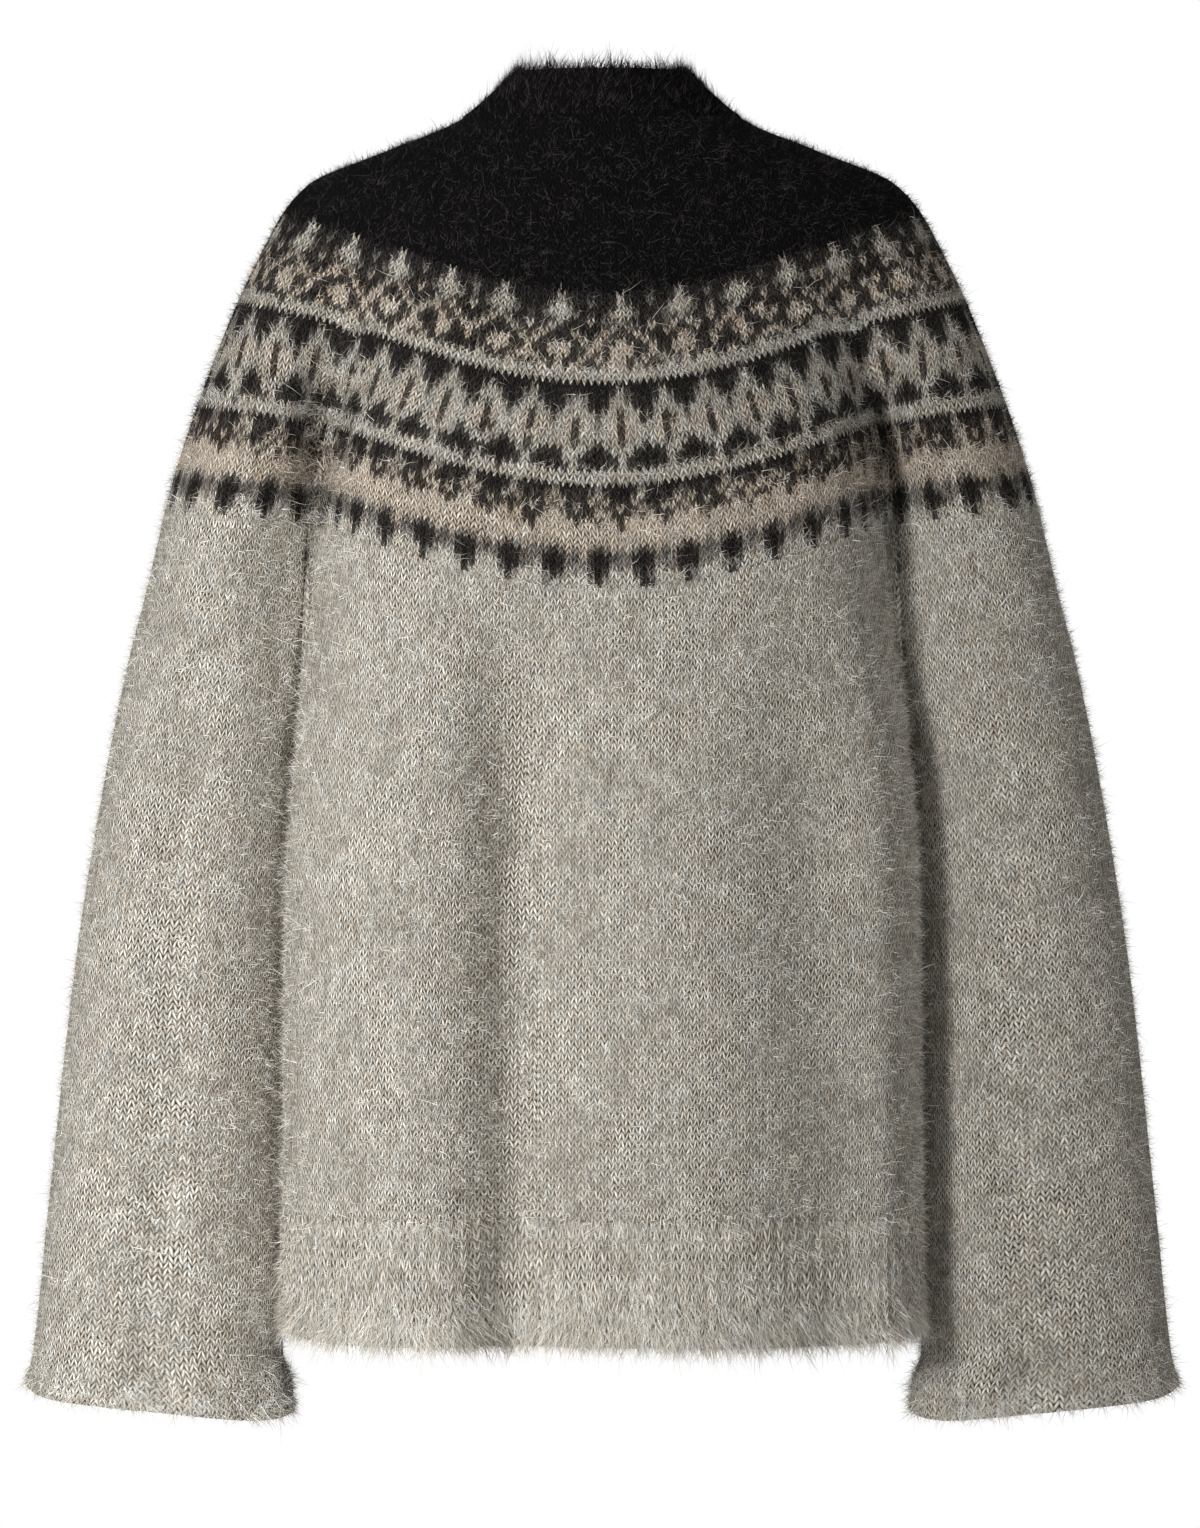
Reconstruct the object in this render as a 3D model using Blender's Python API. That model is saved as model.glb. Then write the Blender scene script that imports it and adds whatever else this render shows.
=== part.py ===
"""Nordic yoke sweater, filled out as if worn, with no wearer inside.

Metres, +Z up. The origin is the middle of the neck, level with the neck points of the
shoulders. The side that is seen faces -Y, and the wearer's left is at +X.
Every cloth piece is a wall between an outer and an inner sheet of points. The sheets come
from horizontal sections of the garment: a rounded torso and two sleeves that melt together
above the underarm and part below it. A drop is a distance below the origin.
"""

import bpy
import numpy as np

# ---- cloth and seams
WALL = 0.003            # fluffy knit, measured to the tips of its short hairs
SEAM_GAP = 0.0003       # between two pieces that are joined
BLEND_POWER = 6.0       # how tightly torso and sleeve melt together above the underarm

# ---- landmarks
COLLAR_TOP = 0.029
YOKE_DROP_MIDDLE = 0.250    # lower edge of the yoke at centre front and back
UNDERARM_DROP = 0.215
UNDERARM_X = 0.155          # line where body and sleeve are joined under the arm
UNDERARM_DEPTH = 0.041      # half the width of the cloth that fills the armpit
SEAM_POWER = 1.3            # how the yoke's lower edge rises from the middle to the arm
ROW_TILT = 0.10             # rise of the sleeve's rows per metre outwards
HEM_SEAM = 0.580            # drop of the line where the hem rib starts
HEM_END = 0.645
SLEEVE_END = 0.682          # drop of the middle of the sleeve's hem
TOP_FADE = 0.35             # share of a tube over which it leaves its top edge's shape

# ---- ribs
COLLAR_RIBS = 70
COLLAR_RIB_RELIEF = 0.0005
HEM_RIBS = 68               # on the front, and again on the back
HEM_RIB_RELIEF = 0.0008

# ---- mesh density
BODY_COLUMNS = 10           # from centre front to the underarm's corner
ARM_COLUMNS = 8             # from that corner to the outside of the sleeve
UNDERARM_COLUMNS = 3        # from that corner to the side seam
YOKE_ROWS = 13
BODY_ROWS = 9
SLEEVE_ROWS = 13
COLLAR_ROWS = 3
FINE = 240                  # steps of the curves that the sheets are read from

YARN_BLACK = (0.012, 0.011, 0.011, 1.0)
YARN_BEIGE = (0.33, 0.27, 0.22, 1.0)
YARN_GREY = (0.29, 0.28, 0.26, 1.0)


def table(columns, *rows):
    """A small table as a dictionary of named columns."""
    return dict(zip(columns.split(), np.array(rows).T))


TORSO = table(
    "drop half_width front back power",
    (-0.029, 0.0515, 0.057, 0.057, 2.0),
    (-0.016, 0.0625, 0.061, 0.062, 2.0),
    (0.000, 0.0780, 0.068, 0.070, 2.0),
    (0.016, 0.1165, 0.074, 0.079, 2.0),
    (0.032, 0.1500, 0.080, 0.087, 2.0),
    (0.048, 0.1600, 0.085, 0.094, 2.0),
    (0.080, 0.1580, 0.094, 0.103, 2.1),
    (0.110, 0.1490, 0.101, 0.109, 2.3),
    (0.150, 0.1430, 0.108, 0.113, 2.5),
    (0.175, 0.1440, 0.111, 0.114, 2.7),
    (0.200, 0.1490, 0.113, 0.115, 2.8),
    (0.223, 0.1520, 0.114, 0.115, 3.0),
    (0.254, 0.1535, 0.115, 0.115, 3.0),
    (0.285, 0.1555, 0.115, 0.115, 3.0),
    (0.328, 0.1600, 0.116, 0.114, 3.0),
    (0.409, 0.1660, 0.117, 0.114, 3.0),
    (0.580, 0.1680, 0.119, 0.116, 3.0),
    (0.645, 0.1690, 0.121, 0.118, 3.0),
)

SLEEVE = table(
    "drop inner outer half_depth forward",
    (-0.029, 0.0000, 0.0515, 0.010, 0.000),
    (-0.016, 0.0000, 0.0625, 0.015, 0.000),
    (0.000, 0.0000, 0.0780, 0.020, 0.000),
    (0.016, 0.0200, 0.1170, 0.030, 0.000),
    (0.032, 0.0450, 0.1550, 0.038, 0.000),
    (0.048, 0.0700, 0.1700, 0.044, 0.000),
    (0.064, 0.0850, 0.1790, 0.049, 0.000),
    (0.095, 0.1050, 0.1940, 0.054, 0.000),
    (0.127, 0.1210, 0.2070, 0.056, 0.000),
    (0.175, 0.1410, 0.2240, 0.056, 0.000),
    (0.207, 0.1530, 0.2330, 0.056, 0.000),
    (0.254, 0.1560, 0.2440, 0.055, 0.001),
    (0.285, 0.1580, 0.2520, 0.054, 0.002),
    (0.350, 0.1640, 0.2650, 0.052, 0.005),
    (0.445, 0.1690, 0.2800, 0.049, 0.008),
    (0.572, 0.1705, 0.2940, 0.046, 0.011),
    (0.652, 0.1718, 0.3025, 0.044, 0.013),
    (0.672, 0.1630, 0.3070, 0.044, 0.014),
    (0.692, 0.1650, 0.3100, 0.043, 0.014),
)

# Soft lengthwise folds of the body: side is -1 in front and +1 behind, raise is outwards.
BODY_FOLDS = table(
    "side x_above x_at_hem half_width raise starts full",
    (-1, -0.100, -0.104, 0.036, 0.004, 0.24, 0.40),
    (-1, -0.046, -0.050, 0.026, -0.023, 0.21, 0.36),
    (-1, -0.015, -0.022, 0.048, -0.006, 0.21, 0.36),
    (-1, 0.044, 0.050, 0.040, 0.004, 0.22, 0.40),
    (-1, 0.096, 0.120, 0.028, -0.018, 0.21, 0.38),
    (-1, 0.140, 0.146, 0.016, 0.006, 0.25, 0.40),
    (1, -0.110, -0.120, 0.034, -0.008, 0.26, 0.55),
    (1, -0.040, -0.055, 0.040, 0.006, 0.28, 0.58),
    (1, 0.030, 0.022, 0.040, -0.010, 0.30, 0.60),
    (1, 0.095, 0.105, 0.034, 0.005, 0.25, 0.52),
)

# Soft folds of the sleeves: arm is -1 or +1 for its side in X.
SLEEVE_FOLDS = table(
    "arm side x_above x_at_hem half_width raise starts full",
    (-1, -1, 0.210, 0.235, 0.016, -0.005, 0.23, 0.34),
    (-1, 1, 0.200, 0.250, 0.020, -0.005, 0.26, 0.45),
    (1, -1, 0.205, 0.222, 0.018, -0.005, 0.25, 0.40),
    (1, 1, 0.212, 0.240, 0.020, -0.005, 0.24, 0.42),
)


def smooth(columns, name, drop):
    """A column's value at any drop, on a curve that doesn't swing past its rows."""
    x, y = columns["drop"], columns[name]
    slope = np.diff(y) / np.diff(x)
    before, after = slope[:-1], slope[1:]
    same_way = before * after > 0
    total = np.where(same_way, before + after, 1.0)
    tangent = np.concatenate(
        ([slope[0]], np.where(same_way, 2 * before * after / total, 0.0), [slope[-1]])
    )
    drop = np.clip(drop, x[0], x[-1])
    row = np.clip(np.searchsorted(x, drop, side="right") - 1, 0, len(x) - 2)
    step = x[row + 1] - x[row]
    t = (drop - x[row]) / step
    return (
        (1 + 2 * t) * (1 - t) ** 2 * y[row]
        + t * (1 - t) ** 2 * step * tangent[row]
        + t**2 * (3 - 2 * t) * y[row + 1]
        + t**2 * (t - 1) * step * tangent[row + 1]
    )


def ease(t):
    """0 to 1 with soft ends."""
    t = np.clip(t, 0.0, 1.0)
    return t * t * (3 - 2 * t)


def seam_drop(x):
    """Drop of the line that ends the yoke, at a distance x from the middle."""
    x = np.abs(x)
    rest = np.clip(1 - (x / UNDERARM_X) ** 2, 0, 1)
    over_body = UNDERARM_DROP + (YOKE_DROP_MIDDLE - UNDERARM_DROP) * rest**SEAM_POWER
    over_sleeve = UNDERARM_DROP - ROW_TILT * (x - UNDERARM_X)
    return np.where(x < UNDERARM_X, over_body, over_sleeve)


def half_section(x, drop, side):
    """How far the garment reaches in front (side -1) or behind (+1) at x, above the underarm."""
    power = smooth(TORSO, "power", drop)
    depth = smooth(TORSO, "front" if side < 0 else "back", drop)
    share = np.clip(x / smooth(TORSO, "half_width", drop), 0, 1)
    torso = depth * (1 - share**power) ** (1 / power)
    inner, outer = smooth(SLEEVE, "inner", drop), smooth(SLEEVE, "outer", drop)
    middle, half = (outer + inner) / 2, (outer - inner) / 2
    across = np.clip((x - middle) / half, -1, 1)
    arm = smooth(SLEEVE, "half_depth", drop) * np.sqrt(1 - across**2)
    web = UNDERARM_DEPTH * ease((middle - x) / half)
    parts = (torso, arm, web)
    return sum(part**BLEND_POWER for part in parts) ** (1 / BLEND_POWER)


def lengths(points):
    """Distance along each row of points, from its first point."""
    steps = np.linalg.norm(np.diff(points, axis=-2), axis=-1)
    start = np.zeros(steps.shape[:-1] + (1,))
    return np.concatenate((start, np.cumsum(steps, axis=-1)), axis=-1)


def read_along(points, shares):
    """Points at the given shares of the length of one row of points."""
    along = lengths(points)
    at = np.asarray(shares) * along[-1]
    return np.stack([np.interp(at, along, points[:, k]) for k in range(3)], axis=1)


def quarter(side, top, bottom, rows):
    """Fine rows of a quarter of the yoke or collar, from the middle out to +X.

    top is one drop and bottom a function of x. Rows are evenly spaced along the cloth."""
    spread = np.sin(np.linspace(0, np.pi / 2, FINE))
    low = np.full(FINE, YOKE_DROP_MIDDLE)
    for _ in range(4):
        low = bottom(spread * smooth(SLEEVE, "outer", low))
    drop = top + np.linspace(0, 1, FINE)[:, None] * (low - top)
    x = spread * smooth(SLEEVE, "outer", drop)
    y = side * half_section(x, drop, side)
    lines = np.stack((x, y, -drop), axis=-1).transpose(1, 0, 2)
    shares = np.linspace(0, 1, rows + 1)
    return np.stack([read_along(line, shares) for line in lines], axis=1)


def mirrored(points):
    return points * (-1, 1, 1)


def whole_ring(front, back):
    """Quarter rows, front and back, each from the middle to +X, as rings from centre front."""
    right = np.concatenate((front, back[:, -2::-1]), axis=1)
    return np.concatenate((right, mirrored(right)[:, -2:0:-1]), axis=1)


def yoke_sheet():
    quarters = []
    for side in (-1, 1):
        fine = quarter(
            side, SEAM_GAP / 2, lambda x: seam_drop(x) - SEAM_GAP / 2, YOKE_ROWS
        )
        along = lengths(fine[-1])
        corner = np.interp(UNDERARM_X, fine[-1][:, 0], along) / along[-1]
        shares = np.concatenate(
            (
                np.linspace(0, corner, BODY_COLUMNS + 1),
                np.linspace(corner, 1, ARM_COLUMNS + 1)[1:],
            )
        )
        quarters.append(np.stack([read_along(row, shares) for row in fine]))
    return whole_ring(*quarters)


def yoke_half(side):
    """The yoke's front or back, from one shoulder and outer sleeve line to the other."""
    count = 2 * (BODY_COLUMNS + ARM_COLUMNS)
    rings = np.roll(yoke_sheet(), count // 2, axis=1)
    rings = np.concatenate((rings, rings[:, :1]), axis=1)
    half = rings[:, : count + 1] if side < 0 else rings[:, count:]
    half[:, (0, -1), 1] = side * SEAM_GAP / 2
    return half


def collar_sheet():
    quarters = [
        quarter(side, -COLLAR_TOP, lambda x: 0 * x - SEAM_GAP / 2, COLLAR_ROWS)
        for side in (-1, 1)
    ]
    rings = whole_ring(*quarters)
    closed = np.concatenate((rings, rings[:, :1]), axis=1)
    shares = np.arange(2 * COLLAR_RIBS) / (2 * COLLAR_RIBS)
    return np.stack([read_along(ring, shares) for ring in closed])


def folds(columns, chosen, x, drop):
    """Outward move of the cloth at x and drop, from the chosen rows of a table of folds."""
    move = np.zeros(np.shape(x))
    for k in np.flatnonzero(chosen):
        fold = {name: values[k] for name, values in columns.items()}
        down = np.clip(
            (drop - YOKE_DROP_MIDDLE) / (HEM_END - YOKE_DROP_MIDDLE), 0, 1
        )
        centre = fold["x_above"] + (fold["x_at_hem"] - fold["x_above"]) * down
        grown = ease((drop - fold["starts"]) / (fold["full"] - fold["starts"]))
        move += fold["raise"] * grown * np.exp(-(((x - centre) / fold["half_width"]) ** 2))
    return move


def round_section(angle, power):
    """Unit section: (x, y) of a superellipse at each angle."""
    c, s = np.cos(angle), np.sin(angle)
    return (
        np.sign(c) * np.abs(c) ** (2 / power),
        np.sign(s) * np.abs(s) ** (2 / power),
    )


def even_section(start, end, power, half_width, half_depth, shares):
    """The unit section's points that lie at even lengths between two angles."""
    angle = np.linspace(start, end, 8 * FINE)
    x, y = round_section(angle, power)
    outline = np.stack((x * half_width, y * half_depth, 0 * x), axis=1)
    return round_section(
        np.interp(shares * lengths(outline)[-1], lengths(outline), angle), power
    )


def tube_edge(side, towards_arm):
    """Top edge of the body or of a sleeve in one quarter, below the yoke's lower edge.

    It has the yoke's own columns over the cloth, and a straight line under the arm."""
    count = BODY_COLUMNS + ARM_COLUMNS
    edge = yoke_sheet()[-1] - (0, 0, SEAM_GAP)
    edge = edge[: count + 1] if side < 0 else edge[count : 2 * count + 1][::-1]
    y = np.linspace(edge[BODY_COLUMNS, 1], 0, UNDERARM_COLUMNS + 1)
    x = np.full(len(y), UNDERARM_X + towards_arm * SEAM_GAP / 2)
    under = np.stack((x, y, 0 * x - UNDERARM_DROP - SEAM_GAP / 2), axis=1)
    if towards_arm > 0:
        return np.concatenate((under[::-1], edge[BODY_COLUMNS + 1 :]))
    return np.concatenate((edge[:BODY_COLUMNS], under))


def body_top(side):
    """Top edge of a body panel, from the side seam at -X to the one at +X."""
    half = tube_edge(side, -1)
    half[-1, 1] = side * SEAM_GAP / 2
    return np.concatenate((mirrored(half)[::-1], half[1:]))


def body_section(side, unit, drop):
    """Points of a body panel below its top edge."""
    x = unit[0] * smooth(TORSO, "half_width", drop)
    depth = smooth(TORSO, "front" if side < 0 else "back", drop)
    moved = folds(BODY_FOLDS, BODY_FOLDS["side"] == side, x, drop)
    y = side * (unit[1] * (depth + moved))
    y = side * np.maximum(side * y, SEAM_GAP / 2)
    return np.stack((x, y, -drop * np.ones_like(x)), axis=-1)


def anticlockwise(sheet, side):
    """A panel's columns in the order that runs anticlockwise seen from above."""
    return sheet if side < 0 else sheet[:, ::-1]


def body_sheet(side):
    top = body_top(side)
    shares = lengths(top) / lengths(top)[-1]
    unit = even_section(np.pi, 0, 3.0, 0.16, 0.115, shares)
    first = body_section(side, unit, -top[:, 2])
    rows = []
    for down in np.linspace(0, 1, BODY_ROWS + 1):
        drop = -top[:, 2] + down * (HEM_SEAM - SEAM_GAP / 2 + top[:, 2])
        stay = (1 - ease(down / TOP_FADE)) * (top - first)
        rows.append(body_section(side, unit, drop) + stay * (1, 1, 0))
    return anticlockwise(np.stack(rows), side)


def hem_sheet(side):
    """The hem rib, with two columns for each rib."""
    shares = np.linspace(0, 1, 2 * HEM_RIBS + 1)
    unit = even_section(np.pi, 0, 3.0, 0.16, 0.115, shares)
    drops = (HEM_SEAM + SEAM_GAP / 2, HEM_END)
    rows = [body_section(side, unit, drop + 0 * shares) for drop in drops]
    return anticlockwise(np.stack(rows), side)


def sleeve_section(arm, unit, middle_drop):
    """A ring of the sleeve at +X, from its inner side round the front."""
    half = (smooth(SLEEVE, "outer", middle_drop) - smooth(SLEEVE, "inner", middle_drop)) / 2
    drop = middle_drop - ROW_TILT * half * unit[0]
    inner, outer = smooth(SLEEVE, "inner", drop), smooth(SLEEVE, "outer", drop)
    x = (outer + inner) / 2 + (outer - inner) / 2 * unit[0]
    depth = smooth(SLEEVE, "half_depth", drop)
    for side in (-1, 1):
        chosen = (SLEEVE_FOLDS["arm"] == arm) & (SLEEVE_FOLDS["side"] == side)
        depth = depth + (unit[1] * side > 0) * folds(SLEEVE_FOLDS, chosen, x, drop)
    y = unit[1] * depth - smooth(SLEEVE, "forward", drop)
    return np.stack((x, y, -drop), axis=-1)


def sleeve_sheet(arm):
    top = np.concatenate((tube_edge(-1, 1), tube_edge(1, 1)[-2:0:-1]))
    around = np.concatenate((top, top[:1]))
    shares = (lengths(around) / lengths(around)[-1])[:-1]
    unit = even_section(-np.pi, np.pi, 2.0, 0.040, 0.055, shares)
    middle = (smooth(SLEEVE, "inner", UNDERARM_DROP) + smooth(SLEEVE, "outer", UNDERARM_DROP)) / 2
    start = seam_drop(middle) + SEAM_GAP / 2
    first = sleeve_section(arm, unit, start)
    rows = []
    for down in np.linspace(0, 1, SLEEVE_ROWS + 1):
        ring = sleeve_section(arm, unit, start + down * (SLEEVE_END - start))
        rows.append(ring + (1 - ease(down / TOP_FADE)) * (top - first))
    sheet = np.stack(rows)
    return sheet if arm > 0 else mirrored(sheet)[:, ::-1]


def normals(sheet, ring):
    """Outward unit normals of rows of points that run anticlockwise seen from above."""
    if ring:
        along = np.roll(sheet, -1, axis=1) - np.roll(sheet, 1, axis=1)
    else:
        along = np.gradient(sheet, axis=1)
    down = np.gradient(sheet, axis=0)
    normal = np.cross(down, along)
    return normal / np.linalg.norm(normal, axis=-1, keepdims=True)


def level(drop):
    """Height of an edge that lies in one level plane."""
    return lambda points: np.full(len(points), -drop)


def wall_sheets(sheet, ring, top, bottom, relief=0.0):
    """Outer and inner points of a wall. Its edges end at the heights that top and bottom give,
    and relief raises every other column of the outer points."""
    normal = normals(sheet, ring)
    if not ring:
        normal[:, (0, -1), 1] = 0
        normal /= np.linalg.norm(normal, axis=-1, keepdims=True)
    reach = normal.copy()
    for row in (0, -1):
        flat = normal[row] * (1, 1, 0)
        reach[row] = flat / (flat**2).sum(axis=-1, keepdims=True)
    raised = np.where(np.arange(sheet.shape[1]) % 2 == 1, relief, -relief)[None, :, None]
    outer = sheet + raised * reach
    inner = sheet - WALL * reach
    for row, height in ((0, top), (-1, bottom)):
        inner[row][:, 2] = height(inner[row])
        outer[row][:, 2] = height(outer[row])
    return outer, inner


def build_wall(name, sheets, ring, material):
    """Skins the outer and inner sheets and closes the edges between them."""
    rows, columns = sheets[0].shape[:2]
    points = np.concatenate([sheet.reshape(-1, 3) for sheet in sheets])
    index = np.arange(2 * rows * columns).reshape(2, rows, columns)
    if ring:
        index = np.concatenate((index, index[:, :, :1]), axis=2)
    outer, inner = index
    strips = [
        (outer[:-1], outer[1:]),
        (inner[1:], inner[:-1]),
        (inner[:1], outer[:1]),
        (outer[-1:], inner[-1:]),
    ]
    if not ring:
        strips += [(outer[:, :1].T, inner[:, :1].T), (inner[:, -1:].T, outer[:, -1:].T)]
    faces = []
    for upper, lower in strips:
        corners = (upper[:, :-1], lower[:, :-1], lower[:, 1:], upper[:, 1:])
        quads = np.stack(corners, axis=-1).reshape(-1, 4)
        faces += [tuple(int(k) for k in quad) for quad in quads]
    mesh = bpy.data.meshes.new(name)
    mesh.from_pydata(points.tolist(), [], faces)
    mesh.validate()
    mesh.materials.append(material)
    mesh.shade_smooth()
    mesh.set_sharp_from_angle(angle=np.radians(50))
    piece = bpy.data.objects.new(name, mesh)
    sweater.objects.link(piece)
    return piece


def knit(name, colour):
    """Wool and mohair knit: matt, no metal."""
    material = bpy.data.materials.new(name)
    material.use_nodes = True
    shader = material.node_tree.nodes["Principled BSDF"]
    shader.inputs["Base Color"].default_value = colour
    shader.inputs["Roughness"].default_value = 0.95
    shader.inputs["Metallic"].default_value = 0.0
    return material


def yoke_height(points):
    return -seam_drop(points[:, 0]) + SEAM_GAP / 2


def tube_height(points):
    return -seam_drop(points[:, 0]) - SEAM_GAP / 2


def same_height(sheet, row):
    """Height of an edge that keeps the heights of its own outer points."""
    heights = sheet[row][:, 2].copy()
    return lambda points: heights


for old in list(bpy.data.objects):
    bpy.data.objects.remove(old)
sweater = bpy.data.collections.new("nordic_yoke_sweater")
bpy.context.scene.collection.children.link(sweater)

black = knit("black_wool", YARN_BLACK)
grey = knit("grey_marl_wool", YARN_GREY)
pattern = knit("beige_pattern_wool", YARN_BEIGE)

collar = collar_sheet()
build_wall(
    "collar_rib",
    wall_sheets(collar, True, level(-COLLAR_TOP), level(-SEAM_GAP / 2), COLLAR_RIB_RELIEF),
    True,
    black,
)
for face, side in (("front", -1), ("back", 1)):
    yoke = yoke_half(side)
    body = body_sheet(side)
    hem = hem_sheet(side)
    build_wall(
        "yoke_" + face,
        wall_sheets(yoke, False, level(SEAM_GAP / 2), yoke_height),
        False,
        pattern,
    )
    build_wall(
        "body_" + face,
        wall_sheets(body, False, tube_height, level(HEM_SEAM - SEAM_GAP / 2)),
        False,
        grey,
    )
    build_wall(
        "hem_rib_" + face,
        wall_sheets(
            hem, False, level(HEM_SEAM + SEAM_GAP / 2), level(HEM_END), HEM_RIB_RELIEF
        ),
        False,
        grey,
    )
for face, arm in (("left", 1), ("right", -1)):
    sleeve = sleeve_sheet(arm)
    build_wall(
        "sleeve_" + face,
        wall_sheets(sleeve, True, tube_height, same_height(sleeve, -1)),
        True,
        grey,
    )
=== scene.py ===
"""Looks of a hand-knitted yoke sweater, filled out as if worn, with no wearer inside.

Metres, +Z up. The origin is the middle of the neck, level with the neck points of the
shoulders. The side that is seen faces -Y, and the wearer's left is at +X. A drop is a
distance below the origin. Each knitted piece is a tube of cloth. Its rows run downwards,
and its columns run anticlockwise seen from above. Loose fibres grow on it as pieces of
their own.
"""

from functools import partial

import bpy
import numpy as np
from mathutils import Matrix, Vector


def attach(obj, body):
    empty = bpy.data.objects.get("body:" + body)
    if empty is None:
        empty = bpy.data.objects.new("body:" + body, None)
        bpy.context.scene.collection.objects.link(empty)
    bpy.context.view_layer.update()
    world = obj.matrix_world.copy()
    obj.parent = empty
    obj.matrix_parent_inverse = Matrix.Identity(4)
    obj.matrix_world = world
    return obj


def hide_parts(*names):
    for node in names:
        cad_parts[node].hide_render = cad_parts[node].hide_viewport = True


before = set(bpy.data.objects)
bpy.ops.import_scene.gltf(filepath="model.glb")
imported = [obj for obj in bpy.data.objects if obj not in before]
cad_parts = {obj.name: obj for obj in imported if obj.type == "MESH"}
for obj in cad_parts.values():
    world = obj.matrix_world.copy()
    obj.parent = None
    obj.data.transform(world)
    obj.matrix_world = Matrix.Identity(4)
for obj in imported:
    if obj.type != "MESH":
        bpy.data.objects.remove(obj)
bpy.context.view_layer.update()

# ---- camera and picture
PIXEL = 0.00053  # of the picture, at the neck's distance from the camera
PICTURE = (1200, 1528)
NECK_PIXEL = (602, 120)
CAMERA_DISTANCE = 6.0
CAMERA_REACH = 50.0
SENSOR = 24.0  # mm, upright

# ---- the sweater's cut, in the named values of its solids. The crease, the edge of the
# collar, the rounded corners and the folds in front are closer to the cloth here.
SEAM_GAP = 0.0003
BLEND_POWER = 6.0  # how sharply body and sleeve meet in the yoke
COLLAR_TOP = 0.0245  # without its fluff
YOKE_DROP_MIDDLE = 0.250
CREASE_X = 0.149  # the yoke sinks in between body and sleeve
CREASE_WIDTH = 0.010
CREASE_DEPTH = 0.016
CREASE_TOP = 0.10  # the drop where it begins
CREASE_FULL = 0.19
CUFF_ROUND = 0.006  # the corners of a sleeve's end are drawn up
CUFF_FROM = 0.96
CUFF_CORNER = 10  # power: how near the corner that begins
HEM_ROUND = 0.007  # and so are the hem's
HEM_CORNER = 12
UNDERARM_DROP = 0.215
UNDERARM_X = 0.155
UNDERARM_DEPTH = 0.041
UNDERARM_POINTS = 12  # of a top edge along the seam under the arm
EDGE_CLEARANCE = 0.001  # from that seam to the edge's next point
EDGE_ROUNDS = 4  # of finding where the outline and an edge meet
SEAM_POWER = 1.3  # how round the yoke's edge sags over the body
ROW_TILT = 0.10  # a sleeve's rows rise outwards by this share
HEM_SEAM = 0.580
HEM_END = 0.645
SLEEVE_END = 0.682
BODY_SECTION = (3.0, 0.160, 0.115)  # power, half width and half depth, for even columns
SLEEVE_SECTION = (2.0, 0.040, 0.055)
TOP_FADE = 0.35  # of a piece's length, from its top edge to its own form
FINE = 240  # points of a section before it is divided evenly

# ---- the knit: 27 stitches and 27 rows in 10 cm, so each is 3.7 mm wide and tall
CLOTH_INSET = 0.0016  # the knit lies this far behind the tips of its short hairs
INSIDE_INSET = 0.0030  # its inner face, at the solids' inner face
SEAM_REACH = 0.022  # over this distance the insets fade out to the underarm seam
SEAM_LAP = 0.0022  # an edge goes this far behind the piece that it is joined to
SEAM_TUCK = 0.0003  # and this much further in
CONTACT_PRESS = 0.0017  # body and sleeve hang against each other
CONTACT_WIDTH = 0.008
CONTACT_GROWS = 0.045  # from the underarm down
HEM_BLUR = 0.006  # more fluff stands this near the hem's seam
STITCH_RISE = 1.00  # rows by which a stitch's legs rise from its middle outwards
COLUMNS = 2  # of the mesh for each stitch: between stitches and its middle
COLLAR_COLUMNS = 4  # and its two legs
RELIEFS = {COLUMNS: (-0.00014, 0.00006), COLLAR_COLUMNS: (-0.00034, 0.0002, -0.00014, 0.0002)}
BODY_STITCHES = 272
BODY_ROWS = 88
HEM_ROWS = 12
HEM_RIB_RELIEF = 0.0007
SLEEVE_STITCHES = 92
SLEEVE_ROWS = 126
COLLAR_STITCHES = 140
COLLAR_ROWS = 8
COLLAR_RIB_RELIEF = 0.0005
INSIDE_COLUMNS = 72
INSIDE_ROWS = 12
COLLAR_INSIDE_ROWS = 3
HEM_INSIDE_ROWS = 2
SEED = 27


def table(columns, *rows):
    """A small table as a dictionary of named columns."""
    return dict(zip(columns.split(), np.array(rows).T))


TORSO = table(
    "drop half_width front back power",
    (-0.029, 0.0440, 0.054, 0.054, 2.0),
    (-0.016, 0.0580, 0.060, 0.061, 2.0),
    (0.000, 0.0780, 0.068, 0.070, 2.0),
    (0.016, 0.1165, 0.074, 0.079, 2.0),
    (0.032, 0.1500, 0.080, 0.087, 2.0),
    (0.048, 0.1600, 0.085, 0.094, 2.0),
    (0.080, 0.1580, 0.094, 0.103, 2.1),
    (0.110, 0.1490, 0.101, 0.109, 2.3),
    (0.150, 0.1430, 0.108, 0.113, 2.5),
    (0.175, 0.1440, 0.111, 0.114, 2.7),
    (0.200, 0.1490, 0.113, 0.115, 2.8),
    (0.223, 0.1520, 0.114, 0.115, 3.0),
    (0.254, 0.1535, 0.115, 0.115, 3.0),
    (0.285, 0.1555, 0.115, 0.115, 3.0),
    (0.328, 0.1600, 0.116, 0.114, 3.0),
    (0.409, 0.1660, 0.117, 0.114, 3.0),
    (0.580, 0.1680, 0.119, 0.116, 3.0),
    (0.645, 0.1690, 0.121, 0.118, 3.0),
)

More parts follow.
